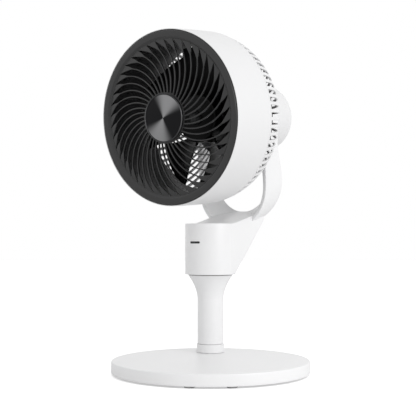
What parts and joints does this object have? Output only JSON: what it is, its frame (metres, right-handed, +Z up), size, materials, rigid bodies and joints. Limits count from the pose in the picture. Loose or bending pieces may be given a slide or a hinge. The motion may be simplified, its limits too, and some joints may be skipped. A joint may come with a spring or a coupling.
{
  "type": "air circulator fan",
  "caption": "Pedestal air circulator: round base, pole and a yoke that pans, holding a drum-shaped head that tilts, with a swept-rib grille and an impeller inside.",
  "frame": {"origin": "centre of the round base, on the surface it stands on", "axes": "+Z up; the front of the base faces -Y; +X is to the right of someone who faces the front. At rest the neck and head are turned 38 degrees to the left of the front"},
  "size_m": [0.2812, 0.3472, 0.4628],
  "materials": {
    "white_plastic": "white, satin moulded",
    "black_plastic": "black, satin moulded",
    "dark_plastic": "dark grey, moulded",
    "grey_plastic": "charcoal grey, moulded",
    "natural_plastic": "unpainted, self-lubricating",
    "rubber": "grey, soft, matte",
    "steel": "bare steel",
    "cast_weight": "rough cast",
    "circuit_board": "green board with its parts",
    "spun_badge": "dark, with a circular spun grain",
    "windings": "copper windings on a steel core"
  },
  "bodies": {
    "base": {"base_cover": "white_plastic", "base_bottom_cover": "dark_plastic", "rubber_foot_1": "rubber", "rubber_foot_2": "rubber", "rubber_foot_3": "rubber", "bottom_cover_screw_1": "steel", "bottom_cover_screw_2": "steel", "bottom_cover_screw_3": "steel", "base_weight": "cast_weight", "touch_board": "circuit_board", "power_inlet": "black_plastic", "pole_foot": "white_plastic", "pole_nut": "steel", "pole": "white_plastic", "pole_cable": "black_plastic", "pole_top_plate": "steel", "pan_bearing": "natural_plastic", "pan_ring_gear": "natural_plastic", "pan_axle_nut": "steel"},
    "neck": {"neck_shell": "white_plastic", "yoke": "white_plastic", "neck_rear_cover": "white_plastic", "neck_cover_screw": "steel", "turntable_plate": "dark_plastic", "pan_motor": "steel", "pan_motor_screw_1": "steel", "pan_motor_screw_2": "steel", "receiver_window": "black_plastic", "receiver_board": "circuit_board", "main_board": "circuit_board", "left_pivot_pin": "steel", "tilt_drive_shaft": "steel", "left_arm_cap": "white_plastic", "right_arm_cap": "white_plastic"},
    "pan_pinion": {"pan_pinion": "natural_plastic"},
    "head": {"drum_shell": "white_plastic", "front_grille": "black_plastic", "grille_badge": "spun_badge", "badge_ring": "steel", "duct_ring": "grey_plastic", "rear_guard": "white_plastic", "guard_screw_1": "steel", "guard_screw_2": "steel", "guard_screw_3": "steel", "motor_housing": "white_plastic", "motor_plate": "steel", "housing_screw_1": "steel", "housing_screw_2": "steel", "housing_screw_3": "steel", "fan_motor_stator": "windings", "motor_bearing_front": "steel", "motor_bearing_rear": "steel", "driver_board": "circuit_board", "tilt_motor": "steel", "left_pivot_bush": "natural_plastic", "right_pivot_bush": "natural_plastic"},
    "impeller": {"impeller": "dark_plastic", "rotor_bell": "steel", "fan_shaft": "steel", "impeller_nut": "dark_plastic"}
  },
  "joints": [
    {"name": "pan", "type": "hinge", "parent": "base", "child": "neck", "pos_m": [0, 0.079, 0.127], "axis": [0, 0, 1], "range_deg": [-22, 98]},
    {"name": "tilt", "type": "hinge", "parent": "neck", "child": "head", "pos_m": [0.03879, 0.12864, 0.353], "axis": [-0.788, 0.6157, 0], "range_deg": [-1.5, 96]},
    {"name": "fan_spin", "type": "hinge", "parent": "head", "child": "impeller", "pos_m": [0.03879, 0.12864, 0.353], "axis": [-0.6123, -0.7837, -0.1045], "continuous": true},
    {"name": "pan_pinion_spin", "type": "hinge", "parent": "neck", "child": "pan_pinion", "pos_m": [-0.01182, 0.06387, 0.1335], "axis": [0, 0, 1], "range_deg": [-66, 294]}
  ],
  "couplings": [
    {"joint": "pan_pinion_spin", "follows": "pan", "ratio": 3}
  ]
}
